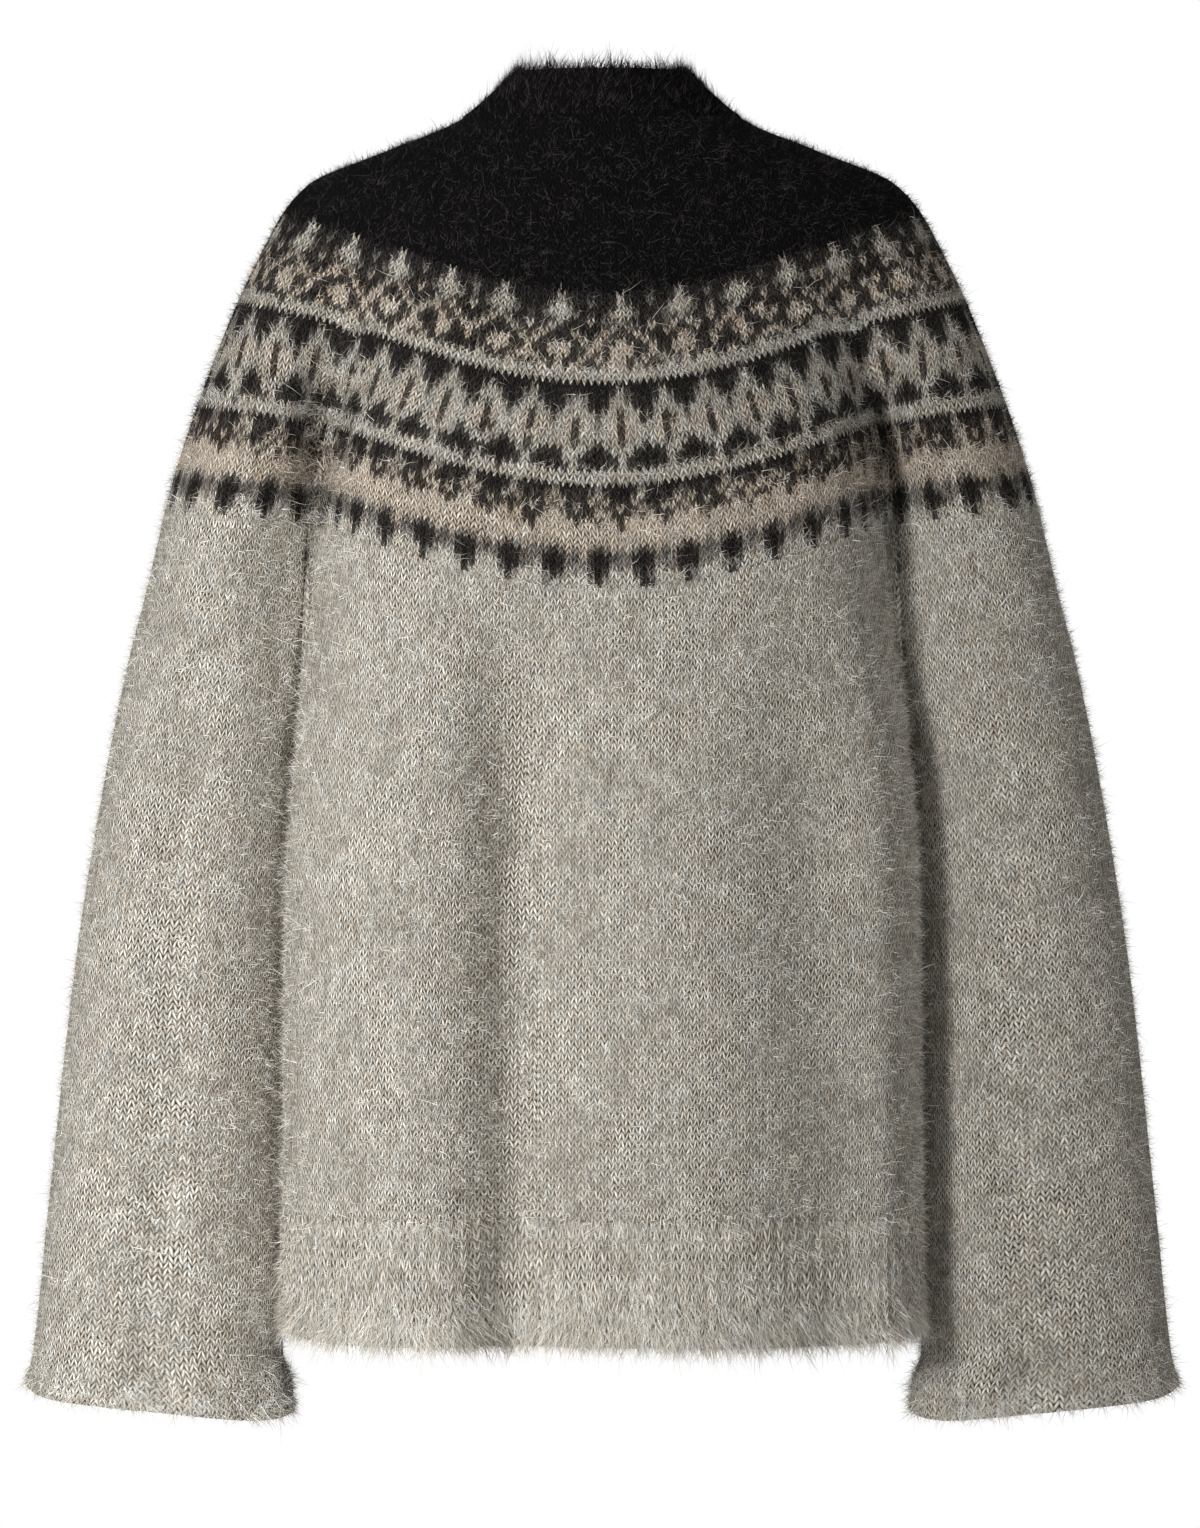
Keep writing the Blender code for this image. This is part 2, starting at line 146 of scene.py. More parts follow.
SLEEVE = table(
    "drop inner outer half_depth forward",
    (-0.029, 0.0000, 0.0440, 0.010, 0.000),
    (-0.016, 0.0000, 0.0580, 0.015, 0.000),
    (0.000, 0.0000, 0.0780, 0.020, 0.000),
    (0.016, 0.0200, 0.1170, 0.030, 0.000),
    (0.032, 0.0450, 0.1550, 0.038, 0.000),
    (0.048, 0.0700, 0.1700, 0.044, 0.000),
    (0.064, 0.0850, 0.1790, 0.049, 0.000),
    (0.095, 0.1050, 0.1940, 0.054, 0.000),
    (0.127, 0.1210, 0.2070, 0.056, 0.000),
    (0.175, 0.1410, 0.2240, 0.056, 0.000),
    (0.207, 0.1530, 0.2330, 0.056, 0.000),
    (0.254, 0.1560, 0.2440, 0.055, 0.001),
    (0.285, 0.1580, 0.2520, 0.054, 0.002),
    (0.350, 0.1640, 0.2650, 0.052, 0.005),
    (0.445, 0.1690, 0.2800, 0.049, 0.008),
    (0.572, 0.1705, 0.2940, 0.046, 0.011),
    (0.652, 0.1705, 0.3025, 0.044, 0.013),
    (0.670, 0.1650, 0.3060, 0.044, 0.014),
    (0.692, 0.1645, 0.3080, 0.043, 0.014),
)

# Soft lengthwise folds of the body: side is -1 in front and +1 behind, raise is outwards.
BODY_FOLDS = table(
    "side x_above x_at_hem half_width raise starts full",
    (-1, -0.100, -0.104, 0.036, 0.004, 0.24, 0.40),
    (-1, -0.042, -0.044, 0.023, -0.030, 0.21, 0.36),
    (-1, -0.015, -0.022, 0.048, -0.006, 0.21, 0.36),
    (-1, 0.050, 0.056, 0.044, 0.010, 0.22, 0.40),
    (-1, 0.104, 0.130, 0.029, -0.014, 0.21, 0.38),
    (-1, 0.154, 0.162, 0.022, 0.018, 0.23, 0.38),
    (1, -0.110, -0.120, 0.034, -0.008, 0.26, 0.55),
    (1, -0.040, -0.055, 0.040, 0.006, 0.28, 0.58),
    (1, 0.030, 0.022, 0.040, -0.010, 0.30, 0.60),
    (1, 0.095, 0.105, 0.034, 0.005, 0.25, 0.52),
)

# Soft folds of the sleeves: arm is -1 or +1 for its side in X.
SLEEVE_FOLDS = table(
    "arm side x_above x_at_hem half_width raise starts full",
    (-1, -1, 0.210, 0.235, 0.016, -0.005, 0.23, 0.34),
    (-1, 1, 0.200, 0.250, 0.020, -0.005, 0.26, 0.45),
    (1, -1, 0.205, 0.222, 0.018, -0.005, 0.25, 0.40),
    (1, 1, 0.212, 0.240, 0.020, -0.005, 0.24, 0.42),
)

# ---- the charts of the yoke, read downwards, one letter for a stitch
# K black, L light grey, P beige, B dark brown, G grey marl. C, D and M are black stitches
# with more and more pale fluff over them.
PLAIN_BLACK = ("K",)
STARS_AND_LATTICE = (
    "CCCCLCCC",
    "MCCCLCCC",
    "CCCLLLCC",
    "DCMLLLMC",
    "PCCCLCCC",
    "CCCPCPCC",
    "CCPCCCPC",
    "CPCCPCCP",
    "PCCPPPCC",
    "PCCPPPCC",
    "CPCCPCCP",
    "CCPCCCPC",
    "LLLLLLLL",
    "LLLLLLLL",
)
BARS = (
    "CCCCCC",
    "LCCCCC",
    "LMCCCM",
    "LLCCCL",
    "BLLCLL",
    "BPLMLP",
    "BPLLLP",
    "BPLLLP",
    "BLLCLL",
    "LLCCCL",
    "LCCCCC",
    "LCCCCC",
    "LLLLLL",
    "LLLLLL",
)
DRIPS = (
    "MCCCCC",
    "PCCDCC",
    "CPCCCP",
    "PBCPCB",
    "BPBCBP",
    "PPPBPP",
    "PPPPPP",
    "PPPPPP",
    "PPPPPP",
    "CMPMPM",
    "CCMDMC",
    "CCMMMC",
    "CCGMGC",
    "CMGGGM",
    "CGGGGG",
)

# A strip of the yoke: share of the way down where it starts, its stitches round the yoke,
# its rows, and how far its chart is turned round.
YOKE_STRIPS = (
    (0.000, 120, 10, PLAIN_BLACK, 0),
    (0.148, 180, 17, PLAIN_BLACK, 0),
    (0.392, 232, 14, STARS_AND_LATTICE, -2),
    (0.578, 276, 14, BARS, 2),
    (0.790, 336, 15, DRIPS, -1),
)

YARNS = {
    "K": "#100e0f",
    "C": "#292624",
    "L": "#cbc6bc",
    "P": "#dacebf",
    "B": "#2e2621",
    "G": "#dcd7cd",
    "M": "#8d8881",
    "D": "#565250",
}
SHADE_SPREAD = 0.10  # how much single stitches differ in shade
HUE_SPREAD = 0.02  # and how much warmer or cooler they are
DARK_WARMTH = (0.90, 1.0, 1.12)  # powers of a shade: darker wool is browner
NEIGHBOUR_SHARE = 0.20  # of a stitch's shade that fibres of the next ones give it
STRAY_SHARE = 0.07  # of the stitches at a border that show the yarn beside them

# ---- loose fibres, with their number on a square metre of cloth. Where last_rows isn't 0
# they grow on that many rows at an open edge only, densest on the last. combed is how much
# they lie towards the edge.
FIBRES = table(
    "last_rows per_area segments shortest longest width lift_from lift_to curl combed",
    (0, 200000, 1, 0.0025, 0.0060, 0.00025, 0.05, 0.45, 0.00, 0.25),
    (0, 170000, 1, 0.0026, 0.0056, 0.00029, 0.45, 1.20, 0.00, 0.15),
    (0, 22000, 2, 0.0055, 0.0110, 0.00024, 0.05, 0.65, 0.40, 0.15),
    (4, 700000, 1, 0.0030, 0.0062, 0.00027, 0.00, 0.90, 0.00, 0.40),
    (7, 850000, 2, 0.0045, 0.0115, 0.00031, 0.05, 0.70, 0.35, 1.20),
)
COLLAR_NAP = 1.5  # times as dense there
HEM_FRINGE = 1.3  # how thick the fringe of an open edge is
CUFF_FRINGE = 0.5
RIB_COMB = 0.9  # how much more fibres lie along a rib
FIBRE_SHADES = 0.25  # how much they differ in shade
PALE_ADDED = "#413e3c"  # to a fibre's colour: some over the dark stitches are paler
PALE_SHARE = 0.42  # of the fibres there
EDGE_PALE_SHARE = 0.14
DARK_LIMIT = 0.05  # linear: a stitch below this is dark
FIBRE_TURN = 0.25  # how unevenly their flat sides look outwards
FIBRE_TAPER = 0.4  # of their width, before the point
MEETING_NAP = 11.0  # more long fibres where pieces meet
PATCH_SIZE = 0.030  # m, patches where the brushing raised more fibres
PATCH_NAP = 0.7
LOCK_SIZE = 0.016  # m, fibres as near as this lean the same way, in locks
LOCK_LEAN = 3.5  # radians
LOCK_SPREAD = 1.3
LOCK_REACH = 0.45
WAVES = ((1.0, 0.3, 0.2), (-0.4, 0.2, 1.1), (0.7, -0.5, -0.8), (0.2, 1.1, 0.6), (-0.9, 0.4, 0.5))

# ---- form and shade of a stitch's legs in the finish
LEG_LENGTH = 0.34  # stitches, from its middle to where it would end in a point
LEG_WIDTH = 0.54  # rows, to both sides
HOLE_SPREAD = 1.3  # power: how wide each hole between legs is, in the bump and in its painted shade
HOLE_FLUFF = 0.32  # how much lighter the painted shade in each hole is in brushed patches, where fluff covers it
STRAND_SCALE = (1.1, 3.2, 5.3)  # along a leg, across it and from leg to leg
ROW_SHIFT = (7.7, 3.1, 0.0)  # a row's strands aren't the next row's
STRAND_RELIEF = 0.35  # of a leg's height
PATCHES = (0.40, 0.68)  # where in its noise the brushed patches begin and end
STRAND_SHADES = (0.25, 0.75, 0.78, 1.24)  # the noise's range, and shades at its ends
LEG_SHADES = (0.0, 1.0, 0.74, 1.26)
FUZZ_SHADES = (0.30, 0.70, 0.80, 1.20)
LIT_TINT = (0.97, 1.0, 1.04)  # times the shade, which is painted shade in each hole and random tone: lighter wool is a little cooler
HOLE_SHADE_TINT = (0.03, 0.0, -0.04)  # added to it: the painted shade in each hole is browner
TANGLE_SIZE = 2.2  # stitches, how far apart the pulls of the yarn are
TANGLE_REACH = 0.65  # stitches, how far a pull moves them
MOTTLE_SIZE = 0.028  # m, patches where the brushing left the cloth lighter
FUZZ_SIZE = 0.0022  # m, tufts of felted fibre, drawn as coarse as they show
WOOL = {"Roughness": 0.92, "Metallic": 0.0, "IOR": 1.5, "Specular IOR Level": 0.12,
        "Sheen Weight": 0.15, "Sheen Roughness": 0.45}

# ---- studio
FLOOR_RADIUS = 3.5
FLOOR_SIDES = 96
FLOOR_DROP = 1.1
FLOOR_COLOUR = "#e9e8e6"
KEY_PLACE = (-1.30, -1.85, -0.22)
KEY_AIM = (-1.14, 0.0, -0.32)  # past the left edge, so that its flap shades the right sleeve
KEY_SIZE = 0.31
KEY_POWER = 212.0
KEY_CONE = 77.5  # degrees
KEY_BLEND = 0.16
FILL_PLACE = (1.7, -3.0, 0.5)
FILL_AIM = (0.0, 0.0, -0.35)
FILL_SIZE = 1.8
FILL_POWER = 21.0
ROOM_LIGHT = 0.20
ROOM_COLOUR = "#fffefd"
BACKDROP_COLOUR = "#ffffff"  # what the camera sees of it


def smooth(columns, name, drop):
    """A column's value at any drop, on a curve that doesn't swing past its rows."""
    x, y = columns["drop"], columns[name]
    slope = np.diff(y) / np.diff(x)
    before, after = slope[:-1], slope[1:]
    same_way = before * after > 0
    total = np.where(same_way, before + after, 1.0)
    tangent = np.concatenate(
        ([slope[0]], np.where(same_way, 2 * before * after / total, 0.0), [slope[-1]])
    )
    drop = np.clip(drop, x[0], x[-1])
    row = np.clip(np.searchsorted(x, drop, side="right") - 1, 0, len(x) - 2)
    step = x[row + 1] - x[row]
    t = (drop - x[row]) / step
    return (
        (1 + 2 * t) * (1 - t) ** 2 * y[row]
        + t * (1 - t) ** 2 * step * tangent[row]
        + t**2 * (3 - 2 * t) * y[row + 1]
        + t**2 * (t - 1) * step * tangent[row + 1]
    )


def ease(t):
    """0 to 1 with soft ends."""
    t = np.clip(t, 0.0, 1.0)
    return t * t * (3 - 2 * t)


def seam_drop(x):
    """Drop of the line that ends the yoke, at a distance x from the middle."""
    x = np.abs(x)
    rest = np.clip(1 - (x / UNDERARM_X) ** 2, 0, 1)
    over_body = UNDERARM_DROP + (YOKE_DROP_MIDDLE - UNDERARM_DROP) * rest**SEAM_POWER
    over_sleeve = UNDERARM_DROP - ROW_TILT * (x - UNDERARM_X)
    return np.where(x < UNDERARM_X, over_body, over_sleeve)


def half_section(x, drop, side):
    """How far the garment reaches in front (side -1) or behind (+1) at x, above the underarm."""
    power = smooth(TORSO, "power", drop)
    depth = smooth(TORSO, "front" if side < 0 else "back", drop)
    share = np.clip(x / smooth(TORSO, "half_width", drop), 0, 1)
    torso = depth * (1 - share**power) ** (1 / power)
    inner, outer = smooth(SLEEVE, "inner", drop), smooth(SLEEVE, "outer", drop)
    middle, half = (outer + inner) / 2, (outer - inner) / 2
    across = np.clip((x - middle) / half, -1, 1)
    arm = smooth(SLEEVE, "half_depth", drop) * np.sqrt(1 - across**2)
    web = UNDERARM_DEPTH * ease((middle - x) / half)
    parts = (torso, arm, web)
    reach = sum(part**BLEND_POWER for part in parts) ** (1 / BLEND_POWER)
    sunk = ease((drop - CREASE_TOP) / (CREASE_FULL - CREASE_TOP))
    return reach - CREASE_DEPTH * sunk * np.exp(-(((x - CREASE_X) / CREASE_WIDTH) ** 2))


def lengths(points):
    """Distance along each row of points, from its first point."""
    steps = np.linalg.norm(np.diff(points, axis=-2), axis=-1)
    start = np.zeros(steps.shape[:-1] + (1,))
    return np.concatenate((start, np.cumsum(steps, axis=-1)), axis=-1)


def read_along(points, shares):
    """Points at the given shares of the length of one row of points."""
    along = lengths(points)
    at = np.asarray(shares) * along[-1]
    return np.stack([np.interp(at, along, points[:, k]) for k in range(3)], axis=1)


def quarter(side, top, bottom, shares):
    """Fine rows of a quarter of the yoke or collar, from the middle out to +X.

    top is one drop and bottom a function of x. Rows lie at shares of the way down the cloth."""
    spread = np.sin(np.linspace(0, np.pi / 2, FINE))
    low = np.full(FINE, YOKE_DROP_MIDDLE)
    for _ in range(EDGE_ROUNDS):
        low = bottom(spread * smooth(SLEEVE, "outer", low))
    drop = top + np.linspace(0, 1, FINE)[:, None] * (low - top)
    x = spread * smooth(SLEEVE, "outer", drop)
    y = side * half_section(x, drop, side)
    lines = np.stack((x, y, -drop), axis=-1).transpose(1, 0, 2)
    return np.stack([read_along(line, shares) for line in lines], axis=1)


def mirrored(points):
    return points * (-1, 1, 1)


def whole_ring(front, back):
    """Quarter rows, front and back, each from the middle to +X, as rings from centre front."""
    right = np.concatenate((front, back[:, -2::-1]), axis=1)
    return np.concatenate((right, mirrored(right)[:, -2:0:-1]), axis=1)


def spaced(rings, count):
    """The same rings with a number of evenly spaced columns."""
    closed = np.concatenate((rings, rings[:, :1]), axis=1)
    return np.stack([read_along(ring, np.arange(count) / count) for ring in closed])


def yoke_quarter(side, shares):
    return quarter(side, SEAM_GAP / 2, lambda x: seam_drop(x) - SEAM_GAP / 2, shares)


def yoke_rings(shares, count):
    return spaced(whole_ring(*(yoke_quarter(side, shares) for side in (-1, 1))), count)


def collar_rings(shares, count):
    quarters = (
        quarter(side, -COLLAR_TOP, lambda x: 0 * x - SEAM_GAP / 2, shares)
        for side in (-1, 1)
    )
    return spaced(whole_ring(*quarters), count)


def folds(columns, chosen, x, drop):
    """Outward move of the cloth at x and drop, from the chosen rows of a table of folds."""
    move = np.zeros(np.shape(x))
    for k in np.flatnonzero(chosen):
        fold = {name: values[k] for name, values in columns.items()}
        down = np.clip((drop - YOKE_DROP_MIDDLE) / (HEM_END - YOKE_DROP_MIDDLE), 0, 1)
        centre = fold["x_above"] + (fold["x_at_hem"] - fold["x_above"]) * down
        grown = ease((drop - fold["starts"]) / (fold["full"] - fold["starts"]))
        move += fold["raise"] * grown * np.exp(-(((x - centre) / fold["half_width"]) ** 2))
    return move


def round_section(angle, power):
    """Unit section: (x, y) of a superellipse at each angle."""
    c, s = np.cos(angle), np.sin(angle)
    return (
        np.sign(c) * np.abs(c) ** (2 / power),
        np.sign(s) * np.abs(s) ** (2 / power),
    )


def even_section(start, end, section, shares):
    """The unit section's points that lie at even lengths between two angles."""
    power, half_width, half_depth = section
    angle = np.linspace(start, end, 8 * FINE)
    x, y = round_section(angle, power)
    outline = np.stack((x * half_width, y * half_depth, 0 * x), axis=1)
    return round_section(
        np.interp(shares * lengths(outline)[-1], lengths(outline), angle), power
    )


def tube_edge(side, towards_arm):
    """Top edge of the body or of a sleeve in one quarter, below the yoke's lower edge."""
    edge = yoke_quarter(side, (1.0,))[0] - (0, 0, SEAM_GAP)
    corner = np.array([np.interp(UNDERARM_X, edge[:, 0], edge[:, k]) for k in range(3)])
    y = np.linspace(corner[1], 0, UNDERARM_POINTS)
    x = np.full(len(y), UNDERARM_X + towards_arm * SEAM_GAP / 2)
    under = np.stack((x, y, 0 * x - UNDERARM_DROP - SEAM_GAP / 2), axis=1)
    if towards_arm > 0:
        return np.concatenate((under[::-1], edge[edge[:, 0] > UNDERARM_X + EDGE_CLEARANCE]))
    return np.concatenate((edge[edge[:, 0] < UNDERARM_X - EDGE_CLEARANCE], under))


def body_section(side, unit, drop):
    """Points of the body's front or back below its top edge."""
    x = unit[0] * smooth(TORSO, "half_width", drop)
    depth = smooth(TORSO, "front" if side < 0 else "back", drop)
    moved = folds(BODY_FOLDS, BODY_FOLDS["side"] == side, x, drop)
    y = side * np.maximum(unit[1] * (depth + moved), 0)
    return np.stack((x, y, -drop * np.ones_like(x)), axis=-1)


def joined_sides(halves):
    """The front, from -X to +X, and the back, from -X to +X, as rings."""
    front, back = halves
    return np.concatenate((front[:, :-1], back[:, :0:-1]), axis=1)


def body_rings(downs, count):
    halves = []
    shares = np.linspace(0, 1, count // 2 + 1)
    unit = even_section(np.pi, 0, BODY_SECTION, shares)
    for side in (-1, 1):
        half = tube_edge(side, -1)
        top = read_along(np.concatenate((mirrored(half)[::-1], half[1:])), shares)
        first = body_section(side, unit, -top[:, 2])
        rows = []
        for down in downs:
            drop = -top[:, 2] + down * (HEM_SEAM - SEAM_GAP / 2 + top[:, 2])
            stay = (1 - ease(down / TOP_FADE)) * (top - first)
            rows.append(body_section(side, unit, drop) + stay * (1, 1, 0))
        halves.append(np.stack(rows))
    return joined_sides(halves)


def hem_rings(downs, count):
    shares = np.linspace(0, 1, count // 2 + 1)
    unit = even_section(np.pi, 0, BODY_SECTION, shares)
    top = HEM_SEAM + SEAM_GAP / 2
    end = HEM_END - HEM_ROUND * np.abs(unit[0]) ** HEM_CORNER
    drops = [top + down * (end - top) for down in downs]
    return joined_sides(
        [np.stack([body_section(side, unit, drop) for drop in drops]) for side in (-1, 1)]
    )


def sleeve_section(arm, unit, middle_drop):
    """A ring of the sleeve at +X, from its inner side round the front."""
    half = (smooth(SLEEVE, "outer", middle_drop) - smooth(SLEEVE, "inner", middle_drop)) / 2
    drop = middle_drop - ROW_TILT * half * unit[0]
    inner, outer = smooth(SLEEVE, "inner", drop), smooth(SLEEVE, "outer", drop)
    x = (outer + inner) / 2 + (outer - inner) / 2 * unit[0]
    depth = smooth(SLEEVE, "half_depth", drop)
    for side in (-1, 1):
        chosen = (SLEEVE_FOLDS["arm"] == arm) & (SLEEVE_FOLDS["side"] == side)
        depth = depth + (unit[1] * side > 0) * folds(SLEEVE_FOLDS, chosen, x, drop)
    y = unit[1] * depth - smooth(SLEEVE, "forward", drop)
    return np.stack((x, y, -drop), axis=-1)


def sleeve_rings(arm, downs, count):
    shares = np.arange(count) / count
    around = np.concatenate((tube_edge(-1, 1), tube_edge(1, 1)[-2::-1]))
    top = read_along(around, shares)
    unit = even_section(-np.pi, np.pi, SLEEVE_SECTION, shares)
    middle = (smooth(SLEEVE, "inner", UNDERARM_DROP) + smooth(SLEEVE, "outer", UNDERARM_DROP)) / 2
    start = seam_drop(middle) + SEAM_GAP / 2
    first = sleeve_section(arm, unit, start)
    rows = []
    for down in downs:
        ring = sleeve_section(arm, unit, start + down * (SLEEVE_END - start))
        drawn = ease((down - CUFF_FROM) / (1 - CUFF_FROM))
        ring[:, 2] += CUFF_ROUND * drawn * np.abs(unit[0]) ** CUFF_CORNER
        rows.append(ring + (1 - ease(down / TOP_FADE)) * (top - first))
    sheet = np.stack(rows)
    return sheet if arm > 0 else mirrored(sheet)[:, ::-1]


# ---- cloth from rings

def normals(sheet):
    """Outward unit normals of rings that run anticlockwise seen from above."""
    along = np.roll(sheet, -1, axis=1) - np.roll(sheet, 1, axis=1)
    normal = np.cross(np.gradient(sheet, axis=0), along)
    return normal / np.linalg.norm(normal, axis=-1, keepdims=True)


def seam_fade(points):
    """0 on the seam under the arm and 1 away from it."""
    x, y, z = np.moveaxis(points, -1, 0)
    past = np.maximum(np.abs(y) - UNDERARM_DEPTH, 0)
    away = np.stack((np.abs(x) - UNDERARM_X, past, z + UNDERARM_DROP))
    return ease(np.linalg.norm(away, axis=0) / SEAM_REACH)


def contact(points):
    """1 where the body and a sleeve hang side by side, and 0 away from there."""
    x, drop = np.abs(points[..., 0]), -points[..., 2]
    between = (smooth(TORSO, "half_width", drop) + smooth(SLEEVE, "inner", drop)) / 2
    near = np.exp(-(((x - between) / CONTACT_WIDTH) ** 2))
    return near * ease((drop - UNDERARM_DROP) / CONTACT_GROWS)


def meeting(points):
    """1 where pieces meet: body and sleeve, in the yoke's crease too, and body and hem."""
    x, drop = np.abs(points[..., 0]), -points[..., 2]
    sunk = ease((drop - CREASE_TOP) / (CREASE_FULL - CREASE_TOP))
    crease = sunk * np.exp(-(((x - CREASE_X) / (2 * CREASE_WIDTH)) ** 2))
    hem_top = (x < UNDERARM_X) * np.exp(-(((drop - HEM_SEAM) / HEM_BLUR) ** 2))
    return np.where(drop < UNDERARM_DROP, crease, np.maximum(contact(points), hem_top))


def inset(sheet, depth, heights, tuck=0.0):
    """The rings moved inwards by a depth, and the first one by tuck more. heights has a
    function for each end that gives the height where its edge stays, or None."""
    reach = normals(sheet)
    ends = [(row, height) for row, height in zip((0, -1), heights) if height]
    for row, _ in ends:
        flat = reach[row] * (1, 1, 0)
        reach[row] = flat / (flat**2).sum(axis=-1, keepdims=True)
    inwards = depth * seam_fade(sheet) - (CLOTH_INSET + CONTACT_PRESS) * contact(sheet)
    inwards[0] += tuck
    moved = sheet - inwards[..., None] * reach
    for row, height in ends:
        moved[row][:, 2] = height(moved[row])
    return moved


def level(drop):
    """Height of an edge that lies in one level plane."""
    return lambda points: np.full(len(points), -drop)


def yoke_height(points):
    return -seam_drop(points[:, 0]) + SEAM_GAP / 2


def tube_height(points):
    return -seam_drop(points[:, 0]) + SEAM_LAP


def knitted(sheet, per_stitch, rib, flat_rows):
    """Gives rings of points the form of rows of stitches, and tells the height of each point
    in rows. The legs of a stitch rise to both sides of its middle."""
    column = np.arange(sheet.shape[1])
    outwards = np.abs((column % per_stitch) / per_stitch - 0.5) * 2
    rise = np.tile(STITCH_RISE * (outwards - 0.5), (len(sheet), 1))
    lift = np.tile(np.array(RELIEFS[per_stitch])[column % per_stitch], (len(sheet), 1))
    lift = lift + rib * np.cos(np.pi * (column / per_stitch - 0.5))
    for row in flat_rows:
        rise[row] = 0
    down = np.gradient(sheet, axis=0)
    points = sheet - rise[..., None] * down + lift[..., None] * normals(sheet)
    return points, np.arange(len(sheet))[:, None] - rise


def shaded(rng, letters):
    """Linear colours of stitches, each a little lighter or darker than its yarn and with
    some of the shade of the stitches beside it."""
    palette = {letter: linear(code) for letter, code in YARNS.items()}
    colours = np.array([palette[letter] for letter in letters.ravel()])
    colours = colours.reshape(*letters.shape, 3)
    shade = rng.normal(0, SHADE_SPREAD, (*letters.shape, 1))
    warmth = rng.normal(0, HUE_SPREAD, (*letters.shape, 1)) * (1, 0, -1)
    colours = colours * np.exp(shade * DARK_WARMTH + warmth)
    above = np.concatenate((colours[:1], colours[:-1]))
    below = np.concatenate((colours[1:], colours[-1:]))
    beside = np.roll(colours, 1, axis=1) + np.roll(colours, -1, axis=1)
    return colours + NEIGHBOUR_SHARE * ((above + below + beside) / 4 - colours)


def linear(code):
    """Linear colour of an sRGB hex value."""
    value = np.array([int(code[k : k + 2], 16) for k in (1, 3, 5)]) / 255
    return np.where(value <= 0.04045, value / 12.92, ((value + 0.055) / 1.055) ** 2.4)


def chart_letters(rng, chart, stitches, rows, turned):
    """Yarn of each stitch of a strip, from a chart that repeats round the yoke. A few
    stitches show the yarn of the one before or above them."""
    lines = [np.resize(list(chart[row % len(chart)]), stitches) for row in range(rows)]
    grid = np.roll(lines, turned, axis=1)
    before = np.roll(grid, 1, axis=1)
    above = np.concatenate((grid[:1], grid[:-1]))
    luck = rng.random(grid.shape)
    grid = np.where(luck < STRAY_SHARE, before, grid)
    return np.where(luck > 1 - STRAY_SHARE, above, grid)


class Skin:
    """Faces of one piece, gathered one patch after another."""

    def __init__(self):
        self.points, self.corners, self.sizes, self.uvs, self.colours = [], [], [], [], []
        self.rims = []
        self.count = 0

    def add_points(self, points):
        start = self.count
        self.points.append(points.reshape(-1, 3))
        self.count += self.points[-1].shape[0]
        return start

    def add_faces(self, index, u, v, colours, rim=False):
        """index, u and v have a row for each face, and colours has one colour for each."""
        self.rims.append(np.full(len(index), rim))
        self.corners.append(index.ravel())
        self.sizes.append(np.full(len(index), index.shape[1]))
        self.uvs.append(np.stack((u, v), axis=-1).reshape(-1, 2))
        self.colours.append(np.repeat(colours, index.shape[1], axis=0))

    def lay_rows(self, start, heights, step, colours, inside_out=False):
        """Quads between the rings of points that begin at start. heights are the points'
        heights in rows, and step is how many stitches lie between two columns."""
        rows, columns = heights.shape
        index = start + np.arange(rows * columns).reshape(rows, columns)
        here = np.arange(columns)
        after = (here + 1) % columns
        above, below = slice(None, -1), slice(1, None)
        if inside_out:
            above, below = below, above
        places = ((above, here), (below, here), (below, after), (above, after))
        left = np.tile(here * step, (rows - 1, 1))
        self.add_faces(
            np.stack([index[r][:, c] for r, c in places], -1).reshape(-1, 4),
            np.stack([left, left, left + step, left + step], -1).reshape(-1, 4),
            np.stack([heights[r][:, c] for r, c in places], -1).reshape(-1, 4),
            colours.reshape(-1, 3),
        )

    def zip_rings(self, upper, lower, stitches, colours, rim=False):
        """Triangles between two rings with different numbers of points. upper and lower are
        (first index, heights in rows), and colours has one colour for each stitch."""
        (top, above), (low, below) = upper, lower
        m, n = len(above), len(below)
        i, j = np.arange(m), np.arange(n)
        meets = np.floor((i + 0.5) / m * n + 0.5).astype(int)
        hangs = np.searchsorted(meets, j, side="right")
        i_next, j_next = (i + 1) % m, (j + 1) % n

        def corners(down, up):
            """Of the triangles that point down, and then of those that point up."""
            return np.concatenate((np.stack(down, -1), np.stack(up, -1)))

        index = corners((top + i, low + meets % n, top + i_next),
                        (top + hangs % m, low + j, low + j_next))
        share = corners((i / m, meets / n, (i + 1) / m), (hangs / m, j / n, (j + 1) / n))
        heights = corners((above, below[meets % n], above[i_next]),
                          (above[hangs % m], below, below[j_next]))
        stitch = np.minimum((share.mean(axis=1) * stitches).astype(int), stitches - 1)
        self.add_faces(index, share * stitches, heights, colours[stitch], rim)


def build(name, points, corners, sizes, colours, domain, uvs=None):
    """A mesh object from arrays, with its place in its mesh."""
    mesh = bpy.data.meshes.new(name)
    mesh.vertices.add(len(points))
    mesh.vertices.foreach_set("co", points.astype(np.float32).ravel())
    mesh.loops.add(len(corners))
    mesh.loops.foreach_set("vertex_index", corners.astype(np.int32))
    mesh.polygons.add(len(sizes))
    starts = np.concatenate(([0], np.cumsum(sizes)[:-1])).astype(np.int32)
    mesh.polygons.foreach_set("loop_start", starts)
    mesh.update(calc_edges=True)
    yarn = mesh.color_attributes.new("yarn", "FLOAT_COLOR", domain)
    rgba = np.concatenate((colours, np.ones((len(colours), 1))), axis=1)
    yarn.data.foreach_set("color", rgba.astype(np.float32).ravel())
    if uvs is not None:
        layer = mesh.uv_layers.new(name="stitches")
        layer.uv.foreach_set("vector", uvs.astype(np.float32).ravel())
    mesh.validate()
    mesh.shade_smooth()
    piece = bpy.data.objects.new(name, mesh)
    bpy.context.scene.collection.objects.link(piece)
    return piece


